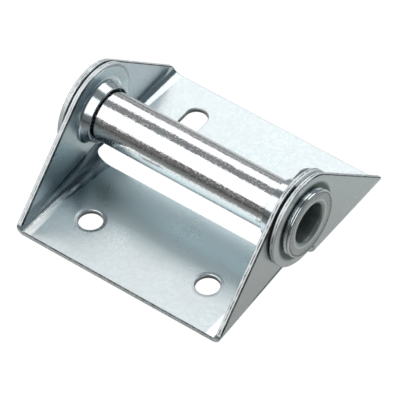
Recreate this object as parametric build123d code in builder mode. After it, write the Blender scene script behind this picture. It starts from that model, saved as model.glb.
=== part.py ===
from build123d import *
import math
import os

# Garage door hinge with a roller tube. Millimetres.
# Origin: centre of the pivot, on the tube's axis. +X along the tube,
# +Y towards the slotted outer leaf, +Z away from the door.

# ---- driving dimensions -------------------------------------------------
SHEET = 1.6            # sheet thickness of both leaves
PIVOT_H = 18.75        # pivot axis above the mounting face
EDGE_R = 0.3           # softened sheared edges

IN_W = 70.0            # inner leaf, outside width over its ears
IN_REACH = 36.4        # pivot to the free edge of the plate
IN_NEAR = 2.6          # pivot to the near edge of the plate
IN_EYE_R = 14.3        # round end of the ear
IN_LIFT = 2.5          # straight part of the ear's free end
IN_LIFT_R = 2.4        # its rounding
IN_BEND_FAR = 0.9      # inside bend radius at the free edge
IN_BEND_NEAR = 5.6     # and at the near edge, where the ear swells to its eye

SIDE_GAP = 0.5         # play between the ears, each side
OUT_W = IN_W + 2 * (SIDE_GAP + SHEET)
OUT_REACH = 36.6
OUT_NEAR = 4.5
OUT_EYE_R = 14.1
OUT_LIFT = 3.6
OUT_LIFT_IN = 0.25      # the ear's free end leans back by this much
OUT_LIFT_R = 1.2
OUT_BEND_FAR = 3.0
OUT_BEND_NEAR = 1.9
CORNER_R = 1.5         # relief where an ear leaves the plate

HOLE_R = 3.5           # round holes, inner leaf
HOLE_ROLL = 0.45       # the punch rolls the upper edge over
HOLE_X = 20.2
HOLE_Y = -21.9
SLOT_W = 6.8           # slots, outer leaf, long along Y
SLOT_LEN = 14.6
SLOT_ROLL = 0.35
SLOT_X = 19.65
SLOT_Y = 21.9

TUBE_R = 7.5           # tube outside radius
BORE_R = 6.0           # for a roller stem of 11 mm
FLARE_R = 10.3         # radius of the flared ends
FLARE_X = 39.1         # end plane of the tube
FLARE_BACK_X = 38.2    # back of the flare, against the outer collar
FLARE_EDGE = 0.42      # rounding of the flare's rim
MOUTH_R = 7.0          # where the rounded mouth meets the flare's face
MOUTH_X = 38.9         # the face is dished by 0.2
TRUMPET_R = MOUTH_R - BORE_R
BORE_RUN = MOUTH_X - TRUMPET_R   # half length of the straight bore
PLAY_R = 0.06          # radial running clearance in the inner eyes

IN_COLLAR_R = 8.7      # drawn collar, inner leaf, at its rim towards the middle
IN_COLLAR_ROOT = 9.5   # it widens like a cone to its root in the ear
IN_COLLAR_XL = 30.0    # its rim on the left
IN_COLLAR_XR = 28.5    # and on the right, where it is drawn further
IN_COLLAR_FILLET = 1.2
IN_MOUTH_R = 8.25      # collar mouth around the tube
IN_MOUTH_DEPTH = 2.2
OUT_COLLAR_R = 9.4     # drawn collar, outer leaf, away from the middle
OUT_COLLAR_FILLET = 0.7
TURN_R = 1.0           # the collar's inner rounding, which the flare follows

IN_HALF = IN_W / 2
OUT_HALF = OUT_W / 2
BASE = -PIVOT_H        # mounting face of both leaves


def tangent(y0, z0, r, side):
    # where a line from (y0, z0) touches an eye of radius r about the pivot
    phi = math.atan2(z0, y0)
    a = phi + side * math.acos(r / math.hypot(y0, z0))
    return r * math.cos(a), r * math.sin(a), math.degrees(a)


def corner(half, base, ends, out):
    # what lies between a rounded corner, of radius r at y, and the point beyond it
    faces = []
    for y, r in ends:
        with BuildSketch(Plane.XZ.offset(-y)) as end:
            with BuildLine():
                CenterArc((half - r, base + r), r, 270, 90)
                Polyline((half, base + r), (half + out, base + r), (half + out, base - out),
                         (half - r, base - out), (half - r, base))
            make_face()
        faces.append(end.sketch.face())
    return loft(faces, ruled=True)


def folded_sheet(width, y_far, r_far, y_near, r_near):
    # plate and two upright ears; the bend's inside radius changes along Y
    grow = (r_near - r_far) / (y_near - y_far)
    ends = [(y, r_far + grow * (y - y_far)) for y in sorted((y_far * 1.05, -y_far * 0.45))]
    long = ends[1][0] - ends[0][0]
    half = width / 2
    at = Pos(0, ends[0][0], BASE)
    sheet = at * Box(width, long, 60, align=(Align.CENTER, Align.MIN, Align.MIN))
    sheet -= at * Pos(0, -1, SHEET) * Box(width - 2 * SHEET, long + 2, 60, align=(Align.CENTER, Align.MIN, Align.MIN))
    cut = corner(half, BASE, [(y, r + SHEET) for y, r in ends], 1.0)
    fill = corner(half - SHEET, BASE + SHEET, ends, 0.4)
    sheet = sheet + fill + mirror(fill, about=Plane.YZ)
    return sheet - cut - mirror(cut, about=Plane.YZ)


def is_sheet_face(f, half):
    # True for the big surfaces of the folded sheet: ears, bends and plate
    c = f.center()
    n = f.normal_at(c)
    if f.geom_type == GeomType.PLANE and abs(abs(n.X) - 1) < 1e-4:
        return min(abs(abs(c.X) - half), abs(abs(c.X) - half + SHEET)) < 1e-3
    if f.geom_type == GeomType.PLANE and abs(abs(n.Z) - 1) < 1e-4:
        return min(abs(c.Z - BASE), abs(c.Z - BASE - SHEET)) < 1e-3
    return f.geom_type != GeomType.PLANE and abs(c.X) > half - 9 and abs(n.X) > 0.1 and abs(n.Z) > 0.1


def sheared_edges(part, half):
    # every edge between a sheet surface and a cut surface
    cut = set()
    for f in part.faces():
        if not is_sheet_face(f, half):
            cut.update(f.edges())
    found = []
    for f in part.faces():
        if is_sheet_face(f, half):
            found += [e for e in f.edges() if e in cut]
    return ShapeList(found)


def upper_rims(part, y, reach):
    # the upper edges of the holes or slots about y
    found = []
    for e in part.edges():
        c = e.center()
        if abs(c.Z - BASE - SHEET) < 1e-3 and abs(c.Y - y) < reach and abs(abs(c.X) - 20) < 5:
            found.append(e)
    return ShapeList(found)


# ---- inner leaf: plate with two round holes, ears inside the other's ----
in_fold = folded_sheet(IN_W, -IN_REACH, IN_BEND_FAR, -IN_NEAR, IN_BEND_NEAR)
with BuildPart() as inner_leaf:
    add(in_fold)

    ty, tz, ta = tangent(-IN_REACH, BASE + IN_LIFT, IN_EYE_R, -1)
    nz = -math.sqrt(IN_EYE_R ** 2 - IN_NEAR ** 2)
    na = math.degrees(math.atan2(nz, -IN_NEAR))
    with BuildSketch(Plane.YZ) as in_outline:
        with BuildLine():
            Polyline((-IN_NEAR, nz), (-IN_NEAR, BASE), (-IN_REACH, BASE),
                     (-IN_REACH, BASE + IN_LIFT), (ty, tz))
            CenterArc((0, 0), IN_EYE_R, ta % 360, na - ta % 360)
        make_face()
        fillet(in_outline.vertices().sort_by_distance((-IN_REACH, BASE + IN_LIFT))[0], IN_LIFT_R)
        fillet(in_outline.vertices().sort_by_distance((-IN_NEAR, nz))[0], CORNER_R)
    extrude(amount=IN_HALF + 5, both=True, mode=Mode.INTERSECT)

    with BuildSketch(Plane.XY.offset(BASE)):
        with Locations((-HOLE_X, HOLE_Y), (HOLE_X, HOLE_Y)):
            Circle(HOLE_R)
    extrude(amount=SHEET, mode=Mode.SUBTRACT)
    rims = upper_rims(inner_leaf.part, HOLE_Y, 0.1)
    fillet(rims, HOLE_ROLL)
    edges = sheared_edges(inner_leaf.part, IN_HALF).filter_by(lambda e: e.bounding_box().size.Z > 1e-3 or abs(e.center().Z - BASE - SHEET) > 1e-3 or abs(e.center().Y - HOLE_Y) > 6)
    fillet(edges, EDGE_R)

    # drawn collars, pointing inwards along the tube
    for side, rim_x in ((-1, IN_COLLAR_XL), (1, IN_COLLAR_XR)):
        face_x = IN_HALF - SHEET
        with BuildSketch(Plane.XY) as in_collar:
            with BuildLine():
                Polyline((face_x + 0.8, 5.0), (rim_x, 5.0), (rim_x, IN_COLLAR_R), (face_x, IN_COLLAR_ROOT),
                         (face_x, IN_COLLAR_ROOT + 1.5), (face_x + 0.8, IN_COLLAR_ROOT + 1.5), close=True)
            make_face()
            fillet(in_collar.vertices().sort_by_distance((rim_x, IN_COLLAR_R))[0], 0.22)
            fillet(in_collar.vertices().sort_by_distance((face_x, IN_COLLAR_ROOT))[0], IN_COLLAR_FILLET)
            if side < 0:
                mirror(about=Plane.YZ, mode=Mode.REPLACE)
        revolve(axis=Axis.X)

    # eyes: straight running land, rounded entries at both ends
    eye_r = TUBE_R + PLAY_R
    for side, rim_x in ((-1, IN_COLLAR_XL), (1, IN_COLLAR_XR)):
        with BuildSketch(Plane.XY) as in_eye:
            with BuildLine():
                Polyline((rim_x - 1, 0), (rim_x - 1, IN_MOUTH_R), (rim_x + IN_MOUTH_DEPTH - 0.7, IN_MOUTH_R),
                         (rim_x + IN_MOUTH_DEPTH, eye_r), (IN_HALF - 0.5, eye_r),
                         (IN_HALF, eye_r + 0.5), (IN_HALF + 1, eye_r + 0.5), (IN_HALF + 1, 0), close=True)
            make_face()
            if side < 0:
                mirror(about=Plane.YZ, mode=Mode.REPLACE)
        revolve(axis=Axis.X, mode=Mode.SUBTRACT)

# ---- outer leaf: plate with two slots, ears outside the other's ---------
out_fold = folded_sheet(OUT_W, OUT_REACH, OUT_BEND_FAR, OUT_NEAR, OUT_BEND_NEAR)
with BuildPart() as outer_leaf:
    add(out_fold)

    lift_y = OUT_REACH - OUT_LIFT_IN
    ty, tz, ta = tangent(lift_y, BASE + OUT_LIFT, OUT_EYE_R, 1)
    nz = -math.sqrt(OUT_EYE_R ** 2 - OUT_NEAR ** 2)
    na = math.degrees(math.atan2(nz, OUT_NEAR))
    with BuildSketch(Plane.YZ) as out_outline:
        with BuildLine():
            Polyline((OUT_NEAR, nz), (OUT_NEAR, BASE), (OUT_REACH, BASE),
                     (lift_y, BASE + OUT_LIFT), (ty, tz))
            CenterArc((0, 0), OUT_EYE_R, ta, (na + 360) - ta)
        make_face()
        fillet(out_outline.vertices().sort_by_distance((lift_y, BASE + OUT_LIFT))[0], OUT_LIFT_R)
        fillet(out_outline.vertices().sort_by_distance((OUT_NEAR, nz))[0], CORNER_R)
    extrude(amount=OUT_HALF + 5, both=True, mode=Mode.INTERSECT)

    with BuildSketch(Plane.XY.offset(BASE)):
        with Locations((-SLOT_X, SLOT_Y), (SLOT_X, SLOT_Y)):
            SlotOverall(SLOT_LEN, SLOT_W, rotation=90)
    extrude(amount=SHEET, mode=Mode.SUBTRACT)
    rims = upper_rims(outer_leaf.part, SLOT_Y, SLOT_LEN / 2 + 0.1)
    fillet(rims, SLOT_ROLL)
    edges = sheared_edges(outer_leaf.part, OUT_HALF).filter_by(lambda e: e.bounding_box().size.Z > 1e-3 or abs(e.center().Z - BASE - SHEET) > 1e-3 or abs(e.center().Y - SLOT_Y) > SLOT_LEN / 2 + 1)
    fillet(edges, EDGE_R)

    # short drawn collars, pointing outwards under the tube's flared ends
    with BuildSketch(Plane.XY) as out_collar:
        with BuildLine():
            Polyline((OUT_HALF - 0.8, 5.0), (FLARE_BACK_X, 5.0), (FLARE_BACK_X, OUT_COLLAR_R),
                     (OUT_HALF + OUT_COLLAR_FILLET, OUT_COLLAR_R))
            CenterArc((OUT_HALF + OUT_COLLAR_FILLET, OUT_COLLAR_R + OUT_COLLAR_FILLET),
                      OUT_COLLAR_FILLET, 180, 90)
            Polyline((OUT_HALF, OUT_COLLAR_R + OUT_COLLAR_FILLET),
                     (OUT_HALF - 0.8, OUT_COLLAR_R + OUT_COLLAR_FILLET), (OUT_HALF - 0.8, 5.0))
        make_face()
        mirror(about=Plane.YZ)
    revolve(axis=Axis.X)

    with BuildSketch(Plane.XY) as out_eye:
        with BuildLine():
            Polyline((OUT_HALF - SHEET - 1, 0), (OUT_HALF - SHEET - 1, TUBE_R),
                     (FLARE_BACK_X - TURN_R, TUBE_R))
            CenterArc((FLARE_BACK_X - TURN_R, TUBE_R + TURN_R), TURN_R, 270, 90)
            Polyline((FLARE_BACK_X, TUBE_R + TURN_R), (FLARE_BACK_X + 1, TUBE_R + TURN_R),
                     (FLARE_BACK_X + 1, 0), (OUT_HALF - SHEET - 1, 0))
        make_face()
        mirror(about=Plane.YZ)
    revolve(axis=Axis.X, mode=Mode.SUBTRACT)

# ---- roller tube: pivot, stem guide and its own rivet ------------------
with BuildPart() as roller_tube:
    with BuildSketch(Plane.XY) as wall:
        with BuildLine():
            Line((0, BORE_R), (BORE_RUN, BORE_R))
            CenterArc((BORE_RUN, MOUTH_R), TRUMPET_R, 270, 90)
            Polyline((MOUTH_X, MOUTH_R), (FLARE_X, FLARE_R), (FLARE_BACK_X, FLARE_R),
                     (FLARE_BACK_X, TUBE_R + TURN_R))
            CenterArc((FLARE_BACK_X - TURN_R, TUBE_R + TURN_R), TURN_R, 0, -90)
            Polyline((FLARE_BACK_X - TURN_R, TUBE_R), (0, TUBE_R), (0, BORE_R))
        make_face()
        fillet(wall.vertices().sort_by_distance((FLARE_X, FLARE_R))[0], FLARE_EDGE)
        fillet(wall.vertices().sort_by_distance((FLARE_BACK_X, FLARE_R))[0], FLARE_EDGE)
        mirror(about=Plane.YZ)
    revolve(axis=Axis.X)

os.makedirs("parts", exist_ok=True)
inner_leaf.part.label = "inner_leaf"
outer_leaf.part.label = "outer_leaf"
roller_tube.part.label = "roller_tube"
export_step(inner_leaf.part, "parts/inner_leaf.step")
export_step(outer_leaf.part, "parts/outer_leaf.step")
export_step(roller_tube.part, "parts/roller_tube.step")
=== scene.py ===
import math

import bmesh
import bpy
import numpy as np
from mathutils import Matrix, Vector

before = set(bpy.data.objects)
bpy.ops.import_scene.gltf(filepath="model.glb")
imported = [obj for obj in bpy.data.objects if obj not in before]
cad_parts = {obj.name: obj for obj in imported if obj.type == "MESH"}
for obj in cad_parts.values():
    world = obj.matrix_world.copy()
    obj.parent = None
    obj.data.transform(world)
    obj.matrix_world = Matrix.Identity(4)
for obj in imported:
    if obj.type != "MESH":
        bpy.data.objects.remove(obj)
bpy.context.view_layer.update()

# Garage door hinge: two folded zinc plated leaves on a bright flared roller tube.
# Metres. The pivot's centre is the origin, +X runs along the tube, +Y points to
# the slotted leaf and +Z away from the door. The mounting faces are at FOOT.
FOOT = -0.01875

scene = bpy.context.scene
scene.view_settings.view_transform = "Standard"
scene.view_settings.look = "None"
scene.view_settings.exposure = 0.0
scene.view_settings.gamma = 1.0


# ---- node helpers ---------------------------------------------------------
class Graph:
    """A material's nodes, made in the order they are used."""

    def __init__(self, name):
        self.mat = bpy.data.materials.new(name)
        self.mat.use_nodes = True
        self.tree = self.mat.node_tree
        self.tree.nodes.clear()
        self.out = self.tree.nodes.new("ShaderNodeOutputMaterial")

    def node(self, kind, **settings):
        n = self.tree.nodes.new(kind)
        for k, v in settings.items():
            setattr(n, k, v)
        return n

    def feed(self, socket, value):
        if isinstance(value, bpy.types.NodeSocket):
            self.tree.links.new(value, socket)
        else:
            socket.default_value = value

    def math(self, op, a, b=0.0, c=0.0, clamp=False):
        n = self.node("ShaderNodeMath", operation=op, use_clamp=clamp)
        for s, v in zip(n.inputs, (a, b, c)):
            self.feed(s, v)
        return n.outputs[0]

    def vmath(self, op, a, b=(0, 0, 0)):
        n = self.node("ShaderNodeVectorMath", operation=op)
        self.feed(n.inputs[0], a)
        self.feed(n.inputs[1], b)
        return n.outputs[0]

    def place(self):
        # the node's own coordinates, which are the part's frame in metres
        return self.node("ShaderNodeTexCoord").outputs["Object"]

    def stretched(self, vector, scale):
        return self.vmath("MULTIPLY", vector, scale)

    def noise(self, vector, scale, detail=2.0, rough=0.5, distort=0.0):
        n = self.node("ShaderNodeTexNoise")
        self.feed(n.inputs["Vector"], vector)
        self.feed(n.inputs["Scale"], scale)
        self.feed(n.inputs["Detail"], detail)
        self.feed(n.inputs["Roughness"], rough)
        self.feed(n.inputs["Distortion"], distort)
        return n.outputs["Fac"]

    def mark(self, name):
        # a number kept on the mesh, face by face
        return self.node("ShaderNodeAttribute", attribute_name=name).outputs["Fac"]

    def axes(self, vector):
        n = self.node("ShaderNodeSeparateXYZ")
        self.feed(n.inputs[0], vector)
        return n.outputs

    def spread(self, value, a, b, c, d, kind="LINEAR"):
        # value from a..b is taken to c..d
        n = self.node("ShaderNodeMapRange", interpolation_type=kind)
        for s, v in zip(n.inputs, (value, a, b, c, d)):
            self.feed(s, v)
        return n.outputs[0]

    def mix(self, fac, a, b):
        n = self.node("ShaderNodeMix", data_type="RGBA")
        self.feed(n.inputs["Factor"], fac)
        sockets = [s for s in n.inputs if s.type == "RGBA"]
        self.feed(sockets[0], a)
        self.feed(sockets[1], b)
        return [s for s in n.outputs if s.type == "RGBA"][0]

    def bump(self, height, distance, strength=1.0, normal=None):
        n = self.node("ShaderNodeBump")
        self.feed(n.inputs["Height"], height)
        self.feed(n.inputs["Distance"], distance)
        self.feed(n.inputs["Strength"], strength)
        if normal is not None:
            self.feed(n.inputs["Normal"], normal)
        return n.outputs[0]

    def metal(self, colour, rough, normal, metallic=1.0):
        s = self.node("ShaderNodeBsdfPrincipled")
        self.feed(s.inputs["Base Color"], colour)
        self.feed(s.inputs["Metallic"], metallic)
        self.feed(s.inputs["Roughness"], rough)
        self.feed(s.inputs["Normal"], normal)
        self.tree.links.new(s.outputs[0], self.out.inputs["Surface"])
        return self.mat


def zones(node, half, frontward, sheet=0.0016):
    """Marks the faces of a folded leaf: cut = sheared edge, collar = drawn collar,
    line = the corner of an edge where dark shade is painted."""
    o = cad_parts[node]
    me = o.data
    n = len(me.polygons)
    normal, centre = np.empty(n * 3), np.empty(n * 3)
    me.polygons.foreach_get("normal", normal)
    me.polygons.foreach_get("center", centre)
    normal, centre = normal.reshape(-1, 3), centre.reshape(-1, 3)
    ax, r = np.abs(centre[:, 0]), np.hypot(centre[:, 1], centre[:, 2])
    an = np.abs(normal)
    e = 0.00004
    ear_skin = (an[:, 0] > 0.998) & ((np.abs(ax - half) < e) | (np.abs(ax - half + sheet) < e))
    plate_skin = (an[:, 2] > 0.998) & ((np.abs(centre[:, 2] - FOOT) < e) | (np.abs(centre[:, 2] - FOOT - sheet) < e))
    bend = (ax > half - 0.0088) & (centre[:, 2] < -0.0098) & (an[:, 1] < 0.12) & (an[:, 0] > 0.02) & (an[:, 2] > 0.02)
    collar = (r < 0.0112) & (an[:, 0] < 0.998) & (ax > 0.027)
    skin = ear_skin | plate_skin | bend | collar
    on_ear = centre[:, 2] > FOOT + 0.004
    flat_cut = np.where(on_ear, an[:, 0] < 0.03, an[:, 2] < 0.03)
    near = centre[:, 1] * frontward < -0.0012
    wall = ~skin & flat_cut & (np.abs(centre[:, 1]) > 0.0115) & (np.abs(centre[:, 1]) < 0.0305) & (ax < 0.028) & ~on_ear
    line = ~skin & ~flat_cut & on_ear & (normal[:, 0] > 0)
    glint = line & ~near & (frontward > 0)
    edge = (an[:, 0] < 0.12) & (normal[:, 1] < -0.05) & (normal[:, 2] > 0.25)
    line = (line & near) | edge & (centre[:, 2] < FOOT + 0.0018) & (centre[:, 1] < -0.0355)
    right_skin = ear_skin & (normal[:, 0] > 0) & (frontward > 0)
    for name, v in (("cut", ~skin & flat_cut & ~wall), ("wall", wall), ("collar", collar), ("line", line), ("glint", glint),
                    ("skin_front", right_skin & near), ("skin_back", right_skin & ~near),
                    ("plate", plate_skin | bend), ("bend", bend),
                    ("ear_out", ear_skin & (normal[:, 0] * centre[:, 0] > 0)), ("ear_in", ear_skin & (normal[:, 0] * centre[:, 0] < 0))):
        me.attributes.new(name, "FLOAT", "FACE").data.foreach_set("value", np.asarray(v, np.float32))


def zinc(name, half, reach, lift, eye, holes):
    """Bright zinc on pressed sheet. Sheared edges are torn and paler, with dark shade
    painted along the corner the punch rolled over. reach, lift and eye give the ear's
    slanted edge, holes the centre of one hole and how far the plate is dished round it."""
    g = Graph(name)
    p = g.place()
    cut = g.mark("cut")
    cloud = g.noise(p, 70.0, 3.0, 0.55)
    grain = g.noise(p, 2200.0, 3.0, 0.6)
    rolled = g.noise(g.stretched(p, (700.0, 90.0, 700.0)), 1.0, 3.0, 0.6)
    wave = g.noise(p, 38.0, 1.0, 0.5)
    torn = g.noise(g.stretched(p, (1300.0, 420.0, 420.0)), 1.0, 3.0, 0.65)
    mottle = g.noise(p, 420.0, 2.0, 0.6)
    blotch = g.noise(p, 850.0, 2.0, 0.6)
    # across the sheet's thickness: the burnished band, then the torn band
    x, y, z = g.axes(p)
    ax = g.math("ABSOLUTE", x)
    depth = g.spread(ax, half - 0.0016, half, 0.0, 1.0)
    low = g.spread(z, FOOT, FOOT + 0.0016, 1.0, 0.0)
    up = g.spread(z, FOOT + 0.0026, FOOT + 0.0030, 0.0, 1.0)
    across = g.math("ADD", g.math("MULTIPLY", depth, up), g.math("MULTIPLY", low, g.math("SUBTRACT", 1.0, up)))
    wander = g.math("ADD", across, g.spread(torn, 0.3, 0.7, -0.10, 0.10))
    seam = g.math("SUBTRACT", 1.0, g.spread(g.math("ABSOLUTE", g.math("SUBTRACT", wander, 0.52)), 0.04, 0.15, 0.0, 1.0, "SMOOTHSTEP"))
    dots = g.spread(torn, 0.40, 0.60, 0.15, 1.0)
    right = g.spread(x, -0.01, 0.01, 0.50 if holes else 0.75, 1.0)
    seam = g.math("MULTIPLY", g.math("MULTIPLY", g.math("MULTIPLY", seam, dots), cut), right)
    # painted shade: a dark line within half a millimetre of the ear's outline
    far = math.hypot(reach, lift)
    side = -1.0 if reach < 0 else 1.0
    a = math.atan2(lift, reach) + side * math.acos(eye / far)
    n_y, n_z = math.cos(a), math.sin(a)
    slant = g.math("ADD", g.math("MULTIPLY", y, n_y), g.math("MULTIPLY", z, n_z))
    round_ = g.math("SQRT", g.math("ADD", g.math("POWER", y, 2.0), g.math("POWER", z, 2.0)))
    past = g.math("GREATER_THAN", g.math("SUBTRACT", g.math("MULTIPLY", y, -n_z), g.math("MULTIPLY", z, -n_y)), 0.0)
    if side < 0:
        past = g.math("SUBTRACT", 1.0, past)
    rim = g.math("MAXIMUM", slant, g.math("MULTIPLY", round_, past))
    painted_edge_shade = g.math("MULTIPLY", g.spread(rim, eye - 0.00085, eye - 0.00050, 0.0, 0.95, "SMOOTHSTEP"), g.mark("skin_front"))
    painted_edge_shade = g.math("MAXIMUM", painted_edge_shade, g.mark("line"))
    painted_edge_shade = g.math("MULTIPLY", painted_edge_shade, g.spread(g.math("MULTIPLY", y, -side), -0.0065, -0.0015, 1.0, 0.25, "SMOOTHSTEP"))
    painted_edge_shade = g.math("MULTIPLY", painted_edge_shade, g.spread(torn, 0.35, 0.65, 0.70, 1.0))

    base = g.mix(g.spread(cloud, 0.35, 0.65, 0.0, 1.0), (0.630, 0.695, 0.722, 1), (0.685, 0.735, 0.757, 1))
    base = g.mix(g.spread(blotch, 0.42, 0.60, 0.0, 0.40), base, (0.78, 0.82, 0.84, 1))
    # painted shade: the ears' outer faces are painted a little darker and less blue
    base = g.mix(g.math("MULTIPLY", g.mark("ear_out"), 0.80), base, (0.67, 0.68, 0.665, 1))
    if holes:
        # painted light: the inner faces of this leaf's ears are painted lighter and bluer
        base = g.mix(g.math("MULTIPLY", g.mark("ear_in"), 0.55), base, (0.84, 0.97, 1.0, 1))
    base = g.mix(cut, base, (0.93, 0.96, 0.98, 1))
    base = g.mix(seam, base, (0.16, 0.16, 0.155, 1))
    # painted shade: the walls of the holes are painted dark
    base = g.mix(g.mark("wall"), base, (0.19, 0.185, 0.175, 1))
    # painted shade: the dark line along the ear's outline and the marked corners
    base = g.mix(painted_edge_shade, base, (0.05, 0.055, 0.055, 1))
    # painted highlight: a near-white line behind the eye's top and on the marked corners
    glint = g.math("MULTIPLY", g.spread(rim, eye - 0.00095, eye - 0.00060, 0.0, 1.0, "SMOOTHSTEP"), g.mark("skin_back"))
    glint = g.math("MAXIMUM", glint, g.mark("glint"))
    base = g.mix(glint, base, (0.95, 0.98, 1.0, 1))
    # painted shade: darker along the fold inside, and a dark ring painted round the collars outside
    shade = g.math("MULTIPLY", g.spread(z, FOOT + 0.0035, FOOT + 0.0125, 0.15 if holes else 0.50, 0.0, "SMOOTHSTEP"), g.mark("ear_in"))
    base = g.mix(shade, base, (0.26, 0.34, 0.38, 1))
    if not holes:
        # painted shade: a dark ring on the ears' outer faces round the collar
        ring = g.math("MULTIPLY", g.spread(round_, 0.0112, 0.0125, 0.92, 0.0, "SMOOTHSTEP"), g.mark("ear_out"))
        base = g.mix(ring, base, (0.06, 0.078, 0.07, 1))
    if holes:
        # painted highlight beside the fold at the free edge, painted shade in the wide bend near the pivot
        front = g.math("MULTIPLY", g.spread(y, -0.0300, -0.0235, 1.0, 0.0), g.mark("plate"))
        band = g.math("MULTIPLY", g.spread(ax, half - 0.0052, half - 0.0046, 0.0, 1.0), g.spread(ax, half - 0.0026, half - 0.0020, 1.0, 0.0))
        band = g.math("MULTIPLY", band, front)
        # painted reflection: the plate is painted bluer and darker towards the pivot, where it mirrors the tube
        painted_reflection_blue = g.math("MULTIPLY", g.spread(y, -0.0260, -0.0140, 0.0, 1.0, "SMOOTHSTEP"), g.mark("plate"))
        base = g.mix(painted_reflection_blue, base, (0.570, 0.685, 0.722, 1))
        # painted highlight: a near-white band beside the fold
        base = g.mix(band, base, (0.97, 0.985, 0.99, 1))
        # painted shade: the plate is painted darker beside the fold towards the pivot
        dull = g.math("MULTIPLY", g.spread(ax, half - 0.0130, half - 0.0045, 0.0, 0.6, "SMOOTHSTEP"), g.spread(y, -0.0215, -0.0135, 0.0, 1.0, "SMOOTHSTEP"))
        dull = g.math("MULTIPLY", dull, g.spread(x, -0.005, 0.005, 1.0, 0.25))
        base = g.mix(g.math("MULTIPLY", dull, g.mark("plate")), base, (0.30, 0.38, 0.42, 1))
        # painted shade: the bend is painted near-black towards the pivot
        inner = g.math("MULTIPLY", g.spread(y, -0.0245, -0.0185, 0.0, 0.85, "SMOOTHSTEP"), g.mark("bend"))
        base = g.mix(inner, base, (0.15, 0.19, 0.215, 1))
    rough = g.math("ADD", g.spread(cloud, 0.3, 0.7, 0.27, 0.33), g.spread(grain, 0.35, 0.65, -0.02, 0.03))
    rough = g.math("ADD", rough, g.math("MULTIPLY", g.math("MAXIMUM", cut, glint), g.spread(torn, 0.3, 0.7, 0.24, 0.36)))
    rough = g.math("SUBTRACT", rough, g.math("MULTIPLY", g.mark("bend"), 0.13))
    rough = g.math("SUBTRACT", rough, g.math("MULTIPLY", g.mark("collar"), 0.15))

    n = g.bump(wave, 0.00009)
    n = g.bump(mottle, 0.000016, normal=n)
    n = g.bump(rolled, 0.0000035, normal=n)
    n = g.bump(grain, 0.0000030, normal=n)
    n = g.bump(g.math("MULTIPLY", torn, cut), 0.00012, normal=n)
    # behind the eye's top the corner is rounded over more, and catches the light
    n = g.bump(g.spread(rim, eye - 0.00100, eye - 0.00030, 1.0, 0.0), 0.00110, g.mark("skin_back"), n)
    if holes:
        # dished a little towards each hole, and rising towards the fold
        hx, hy, deep = holes
        dx = g.math("SUBTRACT", ax, hx)
        dy = g.math("SUBTRACT", y, hy)
        ring = g.math("SQRT", g.math("ADD", g.math("POWER", dx, 2.0), g.math("POWER", dy, 2.0)))
        n = g.bump(g.spread(ring, 0.0036, 0.0048, 0.0, 1.0, "SMOOTHSTEP"), deep, g.mark("plate"), n)
        n = g.bump(g.spread(ax, half - 0.0050, half - 0.0026, 0.0, 1.0), 0.00045, front, n)
    else:
        # the sheet is drawn up a little round the collars
        drawn = g.spread(round_, 0.0098, 0.0134, 1.0, 0.0, "SMOOTHSTEP")
        n = g.bump(drawn, 0.00040, g.mark("ear_out"), n)
    return g.metal(base, rough, n, g.math("SUBTRACT", 1.0, g.math("ADD", g.math("MULTIPLY", cut, 0.30), g.math("MULTIPLY", glint, 0.35))))


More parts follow.
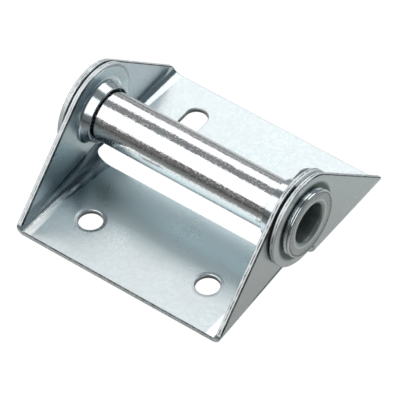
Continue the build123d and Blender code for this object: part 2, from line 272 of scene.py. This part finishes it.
def bright():
    """Bright plate on drawn tube: fine lines along it and a faint pitting. The
    plating hardly reaches into the bore, which is dull grey."""
    g = Graph("bright_tube")
    p = g.place()
    bore = g.mark("bore")
    lines = g.noise(g.stretched(p, (45.0, 1500.0, 1500.0)), 1.0, 3.0, 0.6)
    grain = g.noise(g.stretched(p, (900.0, 1500.0, 1500.0)), 1.0, 2.0, 0.65)
    specks = g.spread(g.noise(g.stretched(p, (1300.0, 1900.0, 1900.0)), 1.0, 1.0, 0.5), 0.47, 0.62, 0.0, 0.20, "SMOOTHSTEP")
    x, y, z = g.axes(p)
    r = g.math("SQRT", g.math("ADD", g.math("POWER", y, 2.0), g.math("POWER", z, 2.0)))
    end = g.spread(g.math("ABSOLUTE", x), 0.0384, 0.0386, 0.0, 1.0)
    specks = g.math("MULTIPLY", specks, g.math("SUBTRACT", 1.0, end))
    face = g.math("MULTIPLY", end, g.spread(r, 0.0098, 0.0101, 1.0, 0.0))
    cloud = g.noise(p, 160.0, 2.0, 0.5)
    swell = g.noise(g.stretched(p, (110.0, 260.0, 260.0)), 1.0, 2.0, 0.5)
    colour = g.mix(g.spread(lines, 0.35, 0.65, 0.0, 1.0), (0.785, 0.79, 0.795, 1), (0.85, 0.855, 0.86, 1))
    colour = g.mix(bore, colour, g.mix(g.spread(swell, 0.35, 0.65, 0.0, 1.0), (0.37, 0.41, 0.40, 1), (0.51, 0.55, 0.535, 1)))
    # painted shade: the bore's rounded mouth is painted near-black
    colour = g.mix(g.math("MULTIPLY", bore, g.spread(r, 0.00602, 0.0062, 0.0, 0.75)), colour, (0.10, 0.115, 0.11, 1))
    rough = g.math("ADD", g.spread(cloud, 0.3, 0.7, 0.05, 0.10), g.spread(lines, 0.35, 0.65, -0.01, 0.02))
    colour = g.mix(face, colour, g.mix(g.spread(cloud, 0.35, 0.65, 0.0, 1.0), (0.45, 0.465, 0.45, 1), (0.55, 0.56, 0.54, 1)))
    # painted shade: a dark ring line on each end face
    painted_shade_line = g.math("SUBTRACT", 1.0, g.spread(g.math("ABSOLUTE", g.math("SUBTRACT", r, 0.0096)), 0.00008, 0.00030, 0.0, 1.0, "SMOOTHSTEP"))
    colour = g.mix(g.math("MULTIPLY", g.math("MULTIPLY", painted_shade_line, end), 0.65), colour, (0.13, 0.14, 0.135, 1))
    # painted highlight: a pale ring line at the bore's mouth on each end face
    pale = g.math("SUBTRACT", 1.0, g.spread(g.math("ABSOLUTE", g.math("SUBTRACT", r, 0.0073)), 0.00010, 0.00045, 0.0, 1.0, "SMOOTHSTEP"))
    colour = g.mix(g.math("MULTIPLY", g.math("MULTIPLY", pale, end), 0.55), colour, (0.86, 0.88, 0.87, 1))
    rough = g.math("ADD", g.math("ADD", rough, specks), g.math("MAXIMUM", g.math("MULTIPLY", bore, 0.42), g.math("MULTIPLY", face, 0.20)))
    n = g.bump(swell, 0.000035)
    n = g.bump(lines, 0.000012, normal=n)
    n = g.bump(grain, 0.000025, normal=n)
    # a turned mark round each end face
    mark = g.math("SUBTRACT", 1.0, g.spread(g.math("ABSOLUTE", g.math("SUBTRACT", r, 0.0092)), 0.0, 0.00032, 0.0, 1.0, "SMOOTHSTEP"))
    n = g.bump(g.math("MULTIPLY", mark, end), 0.00012, normal=n)
    return g.metal(colour, rough, n)


def wear(node, mat):
    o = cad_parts[node]
    o.data.materials.clear()
    o.data.materials.append(mat)
    for f in o.data.polygons:
        f.material_index = 0


def bore_faces(node):
    """Marks the wall of the tube's bore, and less so its rounded mouth."""
    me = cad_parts[node].data
    centre = np.empty(len(me.polygons) * 3)
    me.polygons.foreach_get("center", centre)
    centre = centre.reshape(-1, 3)
    r = np.hypot(centre[:, 1], centre[:, 2])
    inside = np.where(r < 0.00602, 1.0, np.where(r < 0.00702, 0.9, 0.0))
    me.attributes.new("bore", "FLOAT", "FACE").data.foreach_set("value", inside.astype(np.float32))


bore_faces("roller_tube")
zones("inner_leaf", 0.035, 1)
zones("outer_leaf", 0.0371, -1)
wear("inner_leaf", zinc("zinc_inner_leaf", 0.035, -0.0364, FOOT + 0.0025, 0.0143, (0.0202, -0.0219, 0.00014)))
wear("outer_leaf", zinc("zinc_outer_leaf", 0.0371, 0.03635, FOOT + 0.0036, 0.0141, None))
wear("roller_tube", bright())


# ---- studio ---------------------------------------------------------------
def glow(name, colour, strength):
    m = bpy.data.materials.new(name)
    m.use_nodes = True
    t = m.node_tree
    t.nodes.clear()
    e = t.nodes.new("ShaderNodeEmission")
    e.inputs["Color"].default_value = (*colour, 1)
    e.inputs["Strength"].default_value = strength
    o = t.nodes.new("ShaderNodeOutputMaterial")
    t.links.new(e.outputs[0], o.inputs["Surface"])
    return m


def sheet(name, half, z, mat):
    m = bpy.data.meshes.new(name)
    m.from_pydata([(-half, -half, z), (half, -half, z), (half, half, z), (-half, half, z)], [], [(0, 1, 2, 3)])
    m.materials.append(mat)
    o = bpy.data.objects.new(name, m)
    scene.collection.objects.link(o)
    return o


def matte(name, albedo):
    m = bpy.data.materials.new(name)
    m.use_nodes = True
    p = m.node_tree.nodes["Principled BSDF"]
    p.inputs["Base Color"].default_value = (*albedo, 1)
    p.inputs["Roughness"].default_value = 0.9
    p.inputs["Specular IOR Level"].default_value = 0.1
    return m


def half_seen(name, colour, strength):
    # plain white from above, clear from below, so that the under side can be looked at
    m = glow(name, colour, strength)
    t = m.node_tree
    e = next(n for n in t.nodes if n.type == "EMISSION")
    o = next(n for n in t.nodes if n.type == "OUTPUT_MATERIAL")
    clear = t.nodes.new("ShaderNodeBsdfTransparent")
    back = t.nodes.new("ShaderNodeNewGeometry").outputs["Backfacing"]
    pick = t.nodes.new("ShaderNodeMixShader")
    t.links.new(back, pick.inputs[0])
    t.links.new(e.outputs[0], pick.inputs[1])
    t.links.new(clear.outputs[0], pick.inputs[2])
    t.links.new(pick.outputs[0], o.inputs["Surface"])
    return m


def table_top(name):
    # pale, with painted light: brighter towards the back where the window stands, falling off with distance
    g = Graph(name)
    x, y, z = g.axes(g.place())
    away = g.math("SQRT", g.math("ADD", g.math("POWER", x, 2.0), g.math("POWER", g.math("MULTIPLY", g.math("SUBTRACT", y, 0.10), 0.7), 2.0)))
    far = g.spread(away, 0.08, 0.45, 1.0, 0.30, "SMOOTHSTEP")
    front = g.spread(y, -0.16, 0.05, 0.42, 1.0, "SMOOTHSTEP")
    tone = g.math("MULTIPLY", g.math("MULTIPLY", far, front), 0.86)
    cool = g.math("MULTIPLY", g.spread(x, 0.0, 0.12, 0.0, 1.0), g.spread(y, 0.0, 0.12, 0.0, 1.0))
    colour = g.mix(tone, (0.0, 0.0, 0.0, 1), g.mix(cool, (1.0, 1.0, 0.985, 1), (0.86, 1.0, 1.06, 1)))
    d = g.node("ShaderNodeBsdfDiffuse")
    g.feed(d.inputs["Color"], colour)
    g.tree.links.new(d.outputs[0], g.out.inputs["Surface"])
    return g.mat


# The table's pale top, the part of its light that the metal picks up, and a white surround.
top = sheet("floor", 6.0, FOOT - 0.036, half_seen("floor_white", (1, 1, 1), 1.05))
table = sheet("floor_bounce", 3.0, FOOT - 0.034, table_top("floor_pale"))
table.visible_camera = False
ball = bpy.data.meshes.new("surround")
bm = bmesh.new()
bmesh.ops.create_uvsphere(bm, u_segments=32, v_segments=16, radius=9.0)
bm.to_mesh(ball)
bm.free()
ball.materials.append(glow("surround_white", (1, 1, 1), 1.05))
surround = bpy.data.objects.new("surround", ball)
scene.collection.objects.link(surround)
for o in (top, surround):
    o.visible_glossy = o.visible_diffuse = o.visible_transmission = o.visible_shadow = False


def softbox(name, psi, dist, high, wide, radiance, x=0.0, colour=(1.0, 1.0, 0.985)):
    # psi: from straight ahead (-Y) over the top (90) to behind (180), about the tube's axis
    a = math.radians(psi)
    d = bpy.data.lights.new(name, "AREA")
    d.shape = "RECTANGLE"
    d.size, d.size_y = wide, high
    d.energy = radiance * math.pi * wide * high
    d.color = colour
    o = bpy.data.objects.new(name, d)
    scene.collection.objects.link(o)
    at = Vector((x, -math.cos(a) * dist, math.sin(a) * dist))
    back = Vector((0, -math.cos(a), math.sin(a)))
    right = Vector((1, 0, 0))
    up = back.cross(right)
    o.matrix_world = Matrix.Translation(at) @ Matrix((right, up, back)).transposed().to_4x4()
    o.visible_camera = False
    return o


softbox("rear_box", 134.0, 1.0, 0.60, 2.74, 1.30, x=-0.74)
softbox("front_box", 53.0, 1.0, 1.15, 2.40, 1.30, x=-0.92)


def room():
    """Dim surroundings: greyer and cooler to the right and above, brownish at the
    front horizon, lighter towards the back."""
    w = bpy.data.worlds.new("room")
    w.use_nodes = True
    t = w.node_tree
    bg = t.nodes["Background"]
    d = t.nodes.new("ShaderNodeSeparateXYZ")
    t.links.new(t.nodes.new("ShaderNodeTexCoord").outputs["Generated"], d.inputs[0])
    x, y, z = d.outputs

    def ramp(v, a, b, c, e):
        n = t.nodes.new("ShaderNodeMapRange")
        n.interpolation_type = "SMOOTHSTEP"
        t.links.new(v, n.inputs[0])
        for s, k in zip(list(n.inputs)[1:], (a, b, c, e)):
            s.default_value = k
        return n.outputs[0]

    def do(op, a, b):
        n = t.nodes.new("ShaderNodeMath")
        n.operation = op
        for s, k in zip(n.inputs, (a, b)):
            if isinstance(k, bpy.types.NodeSocket):
                t.links.new(k, s)
            else:
                s.default_value = k
        return n.outputs[0]

    back = do("MULTIPLY", ramp(y, 0.30, 0.92, 0.0, 0.24), ramp(z, 0.15, 0.60, 1.0, 0.0))
    level = do("ADD", do("ADD", ramp(z, 0.30, 0.95, 0.0, 0.09), 0.165), back)
    level = do("MULTIPLY", level, ramp(x, 0.02, 0.42, 1.0, 0.62))
    tint = t.nodes.new("ShaderNodeMix")
    tint.data_type = "RGBA"
    ends = [q for q in tint.inputs if q.type == "RGBA"]
    ends[0].default_value = (1.01, 1.0, 0.98, 1)
    ends[1].default_value = (0.95, 1.0, 1.04, 1)
    cool = do("MAXIMUM", ramp(y, -0.75, -0.05, 0.0, 1.0), ramp(x, 0.10, 0.45, 0.0, 1.0))
    t.links.new(cool, tint.inputs["Factor"])
    aside = t.nodes.new("ShaderNodeMix")
    aside.data_type = "RGBA"
    ends = [q for q in aside.inputs if q.type == "RGBA"]
    t.links.new([q for q in tint.outputs if q.type == "RGBA"][0], ends[0])
    ends[1].default_value = (0.74, 1.0, 1.12, 1)
    t.links.new(ramp(x, 0.05, 0.45, 0.0, 1.0), aside.inputs["Factor"])
    t.links.new([q for q in aside.outputs if q.type == "RGBA"][0], bg.inputs["Color"])
    t.links.new(level, bg.inputs["Strength"])
    return w


scene.world = room()

# ---- camera: where the photograph was taken from --------------------------
az, el, roll = map(math.radians, (38.495, 47.777, 2.13))
dist, focal, px, py = 1.285921, 4691.445, 195.177, 161.87
c = Vector((math.sin(az) * math.cos(el), -math.cos(az) * math.cos(el), math.sin(el)))
right = Vector((math.cos(az), math.sin(az), 0))
up = c.cross(right)
xp = math.cos(roll) * right - math.sin(roll) * up
yp = math.sin(roll) * right + math.cos(roll) * up
aim = Vector(((px - 200) / focal, (200 - py) / focal, -1)).normalized()
turn = Matrix((xp, yp, c)).transposed() @ aim.rotation_difference(Vector((0, 0, -1))).to_matrix()
lens = bpy.data.cameras.new("camera")
lens.sensor_fit = "HORIZONTAL"
lens.sensor_width = 36.0
lens.lens = focal * 36.0 / 400.0
lens.clip_start, lens.clip_end = 0.05, 20.0
cam = bpy.data.objects.new("camera", lens)
scene.collection.objects.link(cam)
cam.matrix_world = Matrix.Translation(c * dist) @ turn.to_4x4()
scene.camera = cam
